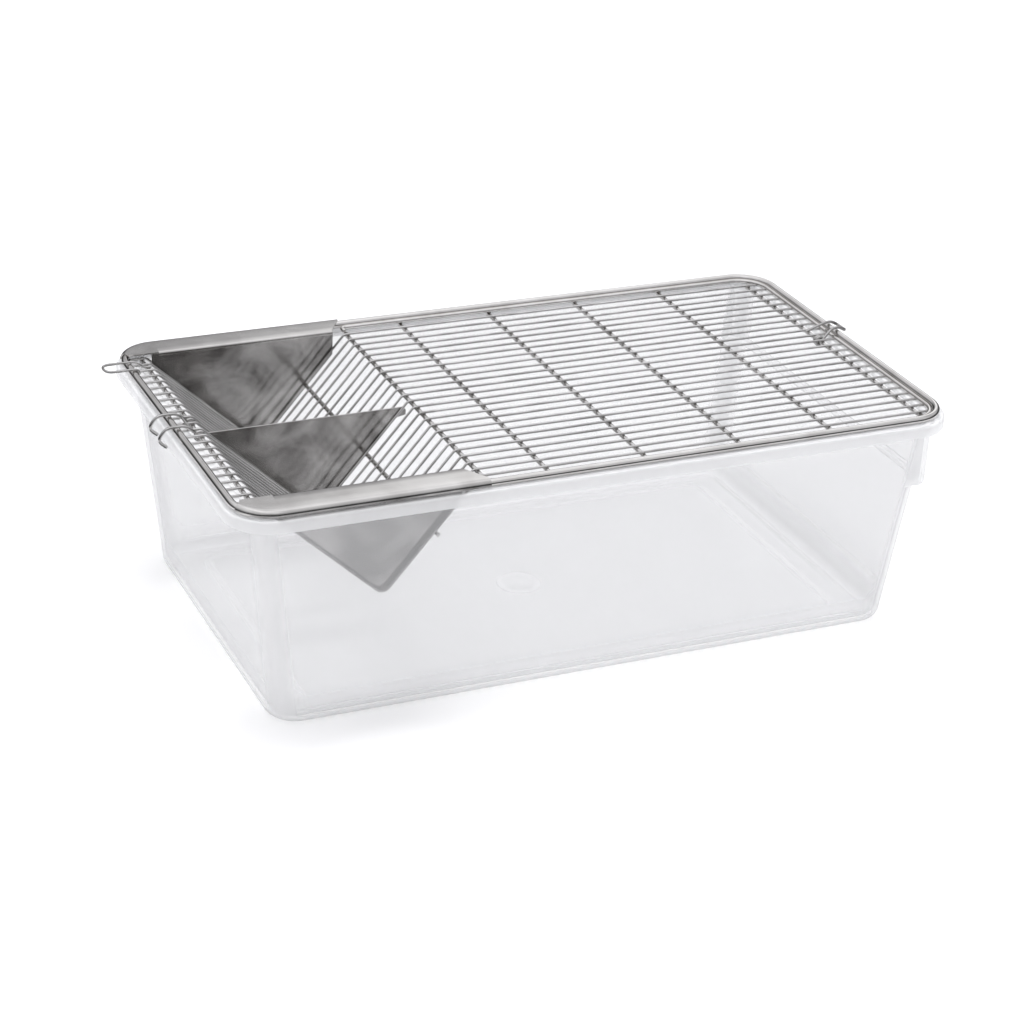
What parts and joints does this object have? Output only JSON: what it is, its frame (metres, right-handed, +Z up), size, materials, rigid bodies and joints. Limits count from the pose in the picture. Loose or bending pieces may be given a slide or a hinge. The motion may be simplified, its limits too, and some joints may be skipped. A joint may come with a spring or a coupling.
{
  "type": "wire-lid rodent cage",
  "caption": "Clear plastic shoebox tub with a lift-off stainless wire-bar lid, a V-shaped feed hopper with end plates and a divider, a card loop and hinged wire latches at both ends",
  "frame": {"origin": "middle of the tub's underside, on the floor it stands on", "axes": "+X along the cage away from the hopper, +Y to the back across it, +Z up; the side with the longer view of the hopper's front plate faces -Y"},
  "size_m": [0.5041, 0.272, 0.1539],
  "materials": {
    "clear_plastic": "clear, faintly grey moulded plastic, glossy",
    "rod_steel": "electropolished stainless rod",
    "wire_steel": "polished stainless wire with welded crossings",
    "sheet_steel": "satin rolled stainless sheet",
    "fitting_wire": "bright drawn stainless wire"
  },
  "bodies": {
    "tub_body": {"tub": "clear_plastic"},
    "lid": {"lid_frame_rod": "rod_steel", "locating_rod": "rod_steel", "shelf_wires": "wire_steel", "hopper_left_wires": "wire_steel", "hopper_right_wires": "wire_steel", "deck_wires": "wire_steel", "cross_rod_1": "rod_steel", "cross_rod_2": "rod_steel", "cross_rod_3": "rod_steel", "cross_rod_4": "rod_steel", "cross_rod_5": "rod_steel", "hopper_left_rod": "rod_steel", "hopper_right_rod": "rod_steel", "hopper_middle_rod": "rod_steel", "end_plate_front": "sheet_steel", "end_plate_back": "sheet_steel", "divider_plate": "sheet_steel", "card_loop": "fitting_wire"},
    "latch_left_body": {"latch_left": "fitting_wire"},
    "latch_right_body": {"latch_right": "fitting_wire"}
  },
  "joints": [
    {"name": "lid_lift", "type": "slide", "parent": "tub_body", "child": "lid", "axis": [0, 0, 1], "range_m": [0, 0.12]},
    {"name": "latch_left_hinge", "type": "hinge", "parent": "lid", "child": "latch_left_body", "pos_m": [-0.224, 0, 0.145], "axis": [0, 1, 0], "range_deg": [0, 110]},
    {"name": "latch_right_hinge", "type": "hinge", "parent": "lid", "child": "latch_right_body", "pos_m": [0.224, 0, 0.145], "axis": [0, -1, 0], "range_deg": [0, 110]}
  ]
}
